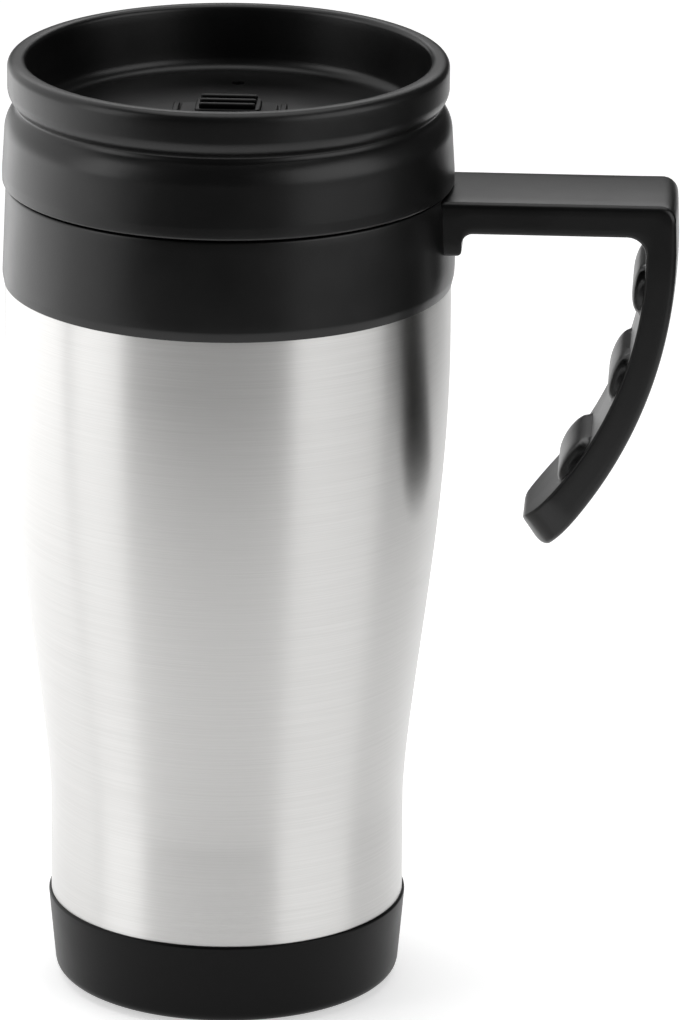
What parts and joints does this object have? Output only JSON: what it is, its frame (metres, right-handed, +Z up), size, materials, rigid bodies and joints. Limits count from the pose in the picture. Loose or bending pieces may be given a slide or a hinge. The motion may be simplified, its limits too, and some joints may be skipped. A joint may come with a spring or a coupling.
{
  "type": "insulated travel mug",
  "caption": "Tapered steel travel mug with a black plastic collar, base and liner, an open side handle and a screw lid with a sliding drink-hole cover.",
  "frame": {"origin": "centre of the foot pad's underside, on the mug's axis", "axes": "+Z up along the mug's axis, +X towards the handle, -Y towards the side with the drink hole"},
  "size_m": [0.1245, 0.0832, 0.178],
  "materials": {
    "brushed_steel": "brushed round the axis",
    "black_plastic": "satin moulded",
    "liner_plastic": "satin moulded",
    "slider_plastic": "satin moulded",
    "screw_steel": "zinc plated",
    "seal_rubber": "matte"
  },
  "bodies": {
    "mug": {"outer_shell": "brushed_steel", "inner_liner": "liner_plastic", "collar": "black_plastic", "handle": "black_plastic", "handle_screws": "screw_steel", "collar_seal": "seal_rubber", "base_cap": "black_plastic", "base_seal": "seal_rubber", "foot_pad": "seal_rubber"},
    "gasket": {"lid_gasket": "seal_rubber"},
    "lid": {"lid_body": "black_plastic"},
    "slider": {"lid_slider": "slider_plastic", "slider_seal": "seal_rubber", "slider_clip": "liner_plastic"}
  },
  "joints": [
    {"name": "lid_lift", "type": "slide", "parent": "mug", "child": "gasket", "axis": [0, 0, 1], "range_m": [0, 0.0035]},
    {"name": "lid_turn", "type": "hinge", "parent": "gasket", "child": "lid", "pos_m": [0, 0, 0.164], "axis": [0, 0, 1], "range_deg": [0, 300]},
    {"name": "slider_slide", "type": "slide", "parent": "lid", "child": "slider", "axis": [0, -1, 0], "range_m": [0, 0.011]}
  ],
  "couplings": [
    {"joint": "lid_lift", "follows": "lid_turn", "m_per_rad": 0.00066845}
  ]
}
